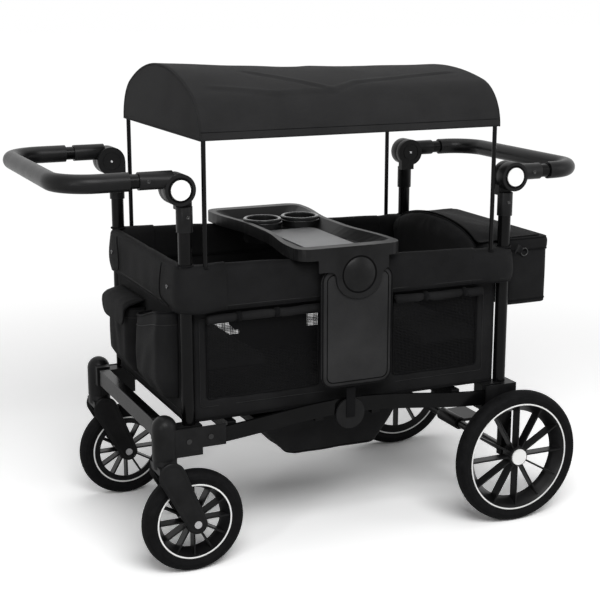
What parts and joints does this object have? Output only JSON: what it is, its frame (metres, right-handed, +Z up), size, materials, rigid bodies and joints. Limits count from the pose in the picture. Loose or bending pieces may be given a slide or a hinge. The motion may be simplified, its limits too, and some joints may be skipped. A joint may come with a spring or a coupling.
{
  "type": "stroller wagon",
  "caption": "Folding push and pull wagon for riders: fabric tub with mesh windows, canopy on hoops, snack tray, pivoting handles and swivel front wheels.",
  "frame": {"origin": "on the ground, under the middle of the length from handle to handle", "axes": "+X to the rear handle end (fixed wheels), +Y to the rider's right side when facing the front, +Z up"},
  "size_m": [1.271, 0.636, 1.0736],
  "materials": {
    "black_plastic": "moulded, matte",
    "black_tube": "powder coated, satin",
    "black_foam": "foam grip, matte",
    "white_plastic": "moulded, satin",
    "bright_steel": "zinc plated",
    "canopy_cloth": "coated polyester, charcoal",
    "tub_cloth": "coated polyester, black",
    "window_mesh": "see-through knitted mesh",
    "grey_mat": "light grey soft mat",
    "tyre_foam": "solid foam tyre, matte",
    "rim_plastic": "moulded, satin with a white pinstripe"
  },
  "bodies": {
    "front_frame": {"front_brackets": "black_plastic", "front_crossbar": "black_tube", "front_posts": "black_tube", "front_hinge_bases": "black_plastic", "front_hoop": "black_tube", "front_end_panel": "tub_cloth", "front_seat": "tub_cloth", "front_collar": "canopy_cloth", "front_screws": "bright_steel", "side_panels": "tub_cloth", "mesh_windows": "window_mesh", "side_collars": "canopy_cloth", "window_rolls": "tub_cloth", "canopy_cover": "canopy_cloth"},
    "front_base": {"front_rails": "black_tube", "front_floor_board": "tub_cloth"},
    "rear_base": {"rear_rails": "black_tube", "rear_floor_board": "tub_cloth"},
    "rear_frame": {"rear_brackets": "black_plastic", "rear_posts": "black_tube", "rear_hinge_bases": "black_plastic", "rear_hoop": "black_tube", "rear_end_panel": "tub_cloth", "rear_bag": "tub_cloth", "rear_seat": "tub_cloth", "rear_backrest": "canopy_cloth", "rear_collar": "canopy_cloth", "rear_axle": "black_tube"},
    "hub": {"hub_axle": "black_plastic", "under_bag": "tub_cloth"},
    "tray": {"tray": "black_plastic", "tray_mat": "grey_mat", "tray_discs": "black_plastic", "side_pads": "canopy_cloth"},
    "front_handle": {"front_handle_tube": "black_tube", "front_grip": "black_foam", "front_hinge_arms": "black_plastic"},
    "rear_handle": {"rear_handle_tube": "black_tube", "rear_grip": "black_foam", "rear_hinge_arms": "black_plastic"},
    "front_left_button": {"front_left_button": "white_plastic"},
    "front_right_button": {"front_right_button": "white_plastic"},
    "rear_left_button": {"rear_left_button": "white_plastic"},
    "rear_right_button": {"rear_right_button": "white_plastic"},
    "left_fork": {"left_fork": "black_plastic", "left_axle_bolt": "bright_steel"},
    "right_fork": {"right_fork": "black_plastic", "right_axle_bolt": "bright_steel"},
    "front_left_wheel": {"front_left_tyre": "tyre_foam", "front_left_rim": "rim_plastic"},
    "front_right_wheel": {"front_right_tyre": "tyre_foam", "front_right_rim": "rim_plastic"},
    "rear_left_wheel": {"rear_left_tyre": "tyre_foam", "rear_left_rim": "rim_plastic", "rear_left_cap": "white_plastic"},
    "rear_right_wheel": {"rear_right_tyre": "tyre_foam", "rear_right_rim": "rim_plastic", "rear_right_cap": "white_plastic"},
    "pocket_flap": {"pocket_flap": "tub_cloth"},
    "brake_pedal": {"brake_pedal": "black_plastic"}
  },
  "joints": [
    {"name": "fold", "type": "hinge", "parent": "front_frame", "child": "front_base", "pos_m": [-0.358, 0, 0.3], "axis": [0, -1, 0], "range_deg": [0, 55], "deforming": ["side_panels", "mesh_windows", "side_collars", "window_rolls", "canopy_cover", "under_bag", "front_seat", "rear_seat"]},
    {"name": "fold_hub", "type": "hinge", "parent": "front_base", "child": "rear_base", "pos_m": [0.022, 0, 0.312], "axis": [0, 1, 0], "range_deg": [0, 110]},
    {"name": "fold_rear", "type": "hinge", "parent": "rear_base", "child": "rear_frame", "pos_m": [0.402, 0, 0.3], "axis": [0, -1, 0], "range_deg": [0, 55]},
    {"name": "hub_level", "type": "hinge", "parent": "front_base", "child": "hub", "pos_m": [0.022, 0, 0.312], "axis": [0, 1, 0], "range_deg": [0, 55]},
    {"name": "tray_slide", "type": "slide", "parent": "front_frame", "child": "tray", "axis": [-1, 0, 0], "range_m": [0, 0.15]},
    {"name": "front_handle_pivot", "type": "hinge", "parent": "front_frame", "child": "front_handle", "pos_m": [-0.364, 0, 0.836], "axis": [0, 1, 0], "range_deg": [-40, 80]},
    {"name": "rear_handle_pivot", "type": "hinge", "parent": "rear_frame", "child": "rear_handle", "pos_m": [0.436, 0, 0.816], "axis": [0, -1, 0], "range_deg": [-40, 80]},
    {"name": "front_left_button_press", "type": "slide", "parent": "front_handle", "child": "front_left_button", "axis": [0, 1, 0], "range_m": [0, 0.004], "stiffness_N_per_m": 800},
    {"name": "front_right_button_press", "type": "slide", "parent": "front_handle", "child": "front_right_button", "axis": [0, -1, 0], "range_m": [0, 0.004], "stiffness_N_per_m": 800},
    {"name": "rear_left_button_press", "type": "slide", "parent": "rear_handle", "child": "rear_left_button", "axis": [0, 1, 0], "range_m": [0, 0.004], "stiffness_N_per_m": 800},
    {"name": "rear_right_button_press", "type": "slide", "parent": "rear_handle", "child": "rear_right_button", "axis": [0, -1, 0], "range_m": [0, 0.004], "stiffness_N_per_m": 800},
    {"name": "left_swivel", "type": "hinge", "parent": "front_frame", "child": "left_fork", "pos_m": [-0.406, -0.25, 0.3], "axis": [0, 0, 1], "continuous": true},
    {"name": "front_left_spin", "type": "hinge", "parent": "left_fork", "child": "front_left_wheel", "pos_m": [-0.346, -0.25, 0.115], "axis": [0, 1, 0], "continuous": true},
    {"name": "right_swivel", "type": "hinge", "parent": "front_frame", "child": "right_fork", "pos_m": [-0.406, 0.25, 0.3], "axis": [0, 0, 1], "continuous": true},
    {"name": "front_right_spin", "type": "hinge", "parent": "right_fork", "child": "front_right_wheel", "pos_m": [-0.346, 0.25, 0.115], "axis": [0, 1, 0], "continuous": true},
    {"name": "rear_left_spin", "type": "hinge", "parent": "rear_frame", "child": "rear_left_wheel", "pos_m": [0.445, -0.298, 0.159], "axis": [0, 1, 0], "continuous": true},
    {"name": "rear_right_spin", "type": "hinge", "parent": "rear_frame", "child": "rear_right_wheel", "pos_m": [0.445, 0.298, 0.159], "axis": [0, 1, 0], "continuous": true},
    {"name": "pocket_flap_hinge", "type": "hinge", "parent": "front_frame", "child": "pocket_flap", "pos_m": [-0.3598, 0.094, 0.5465], "axis": [0, 1, 0], "range_deg": [0, 45]},
    {"name": "brake_pedal_hinge", "type": "hinge", "parent": "rear_frame", "child": "brake_pedal", "pos_m": [0.445, 0, 0.159], "axis": [0, 1, 0], "range_deg": [0, 20]}
  ],
  "couplings": [
    {"joint": "fold_hub", "follows": "fold", "ratio": 2},
    {"joint": "fold_rear", "follows": "fold", "ratio": 1},
    {"joint": "hub_level", "follows": "fold", "ratio": 1},
    {"joint": "tray_slide", "follows": "fold", "m_per_rad": 0.1562}
  ]
}
